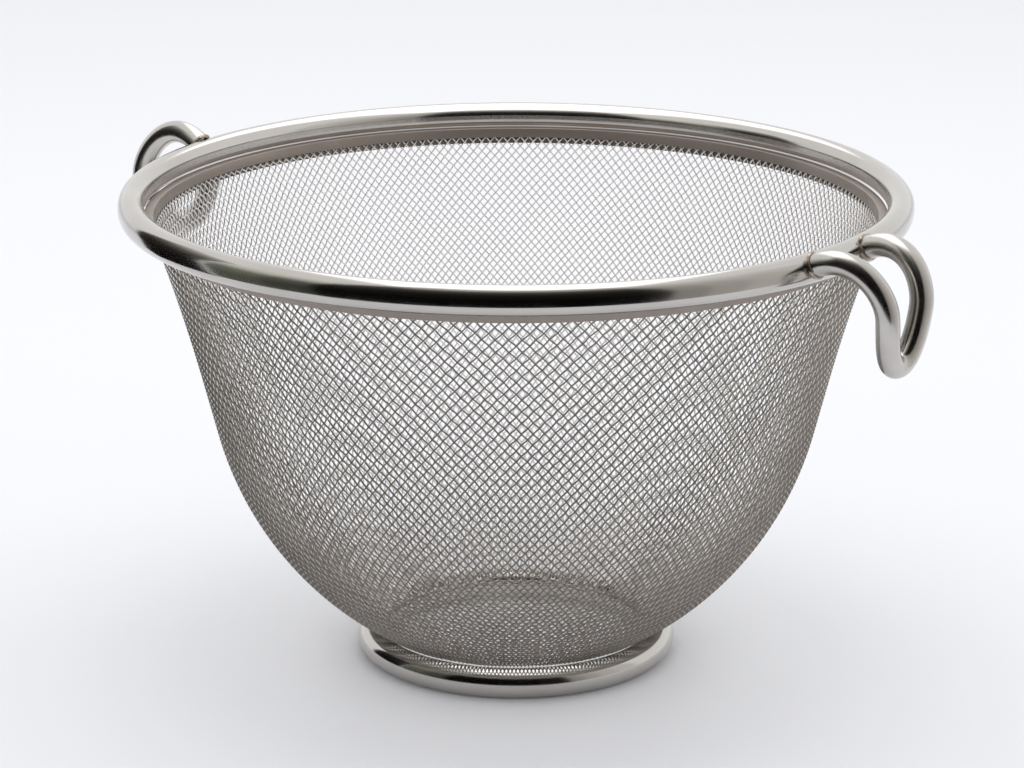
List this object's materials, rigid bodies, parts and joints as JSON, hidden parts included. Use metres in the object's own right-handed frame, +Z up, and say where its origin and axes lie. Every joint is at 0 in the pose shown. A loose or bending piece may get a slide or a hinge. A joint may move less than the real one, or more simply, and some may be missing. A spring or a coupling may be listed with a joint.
{
  "type": "mesh strainer basket",
  "caption": "Round woven wire strainer bowl with a rolled rim, a foot ring and bent rod handles hooked down on opposite sides.",
  "frame": {"origin": "on the table, in the middle of the foot ring's standing face", "axes": "+Z up along the bowl's axis, +X towards the right handle, +Y along the rim a quarter turn from it"},
  "size_m": [0.241, 0.2, 0.1271],
  "materials": {
    "rim": "polished stainless steel",
    "core": "drawn wire",
    "bands": "satin stainless steel",
    "cloth": "woven stainless wire",
    "foot": "polished stainless steel",
    "rod": "polished stainless steel",
    "weld": "weld metal"
  },
  "bodies": {
    "root": {"rim_bead": "rim", "rim_core": "core", "rim_collar": "bands", "rim_skirt": "bands", "mesh_bowl": "cloth", "foot_ring": "foot", "handle_right": "rod", "handle_left": "rod", "weld_right_a": "weld", "weld_right_b": "weld", "weld_left_a": "weld", "weld_left_b": "weld"}
  },
  "joints": []
}
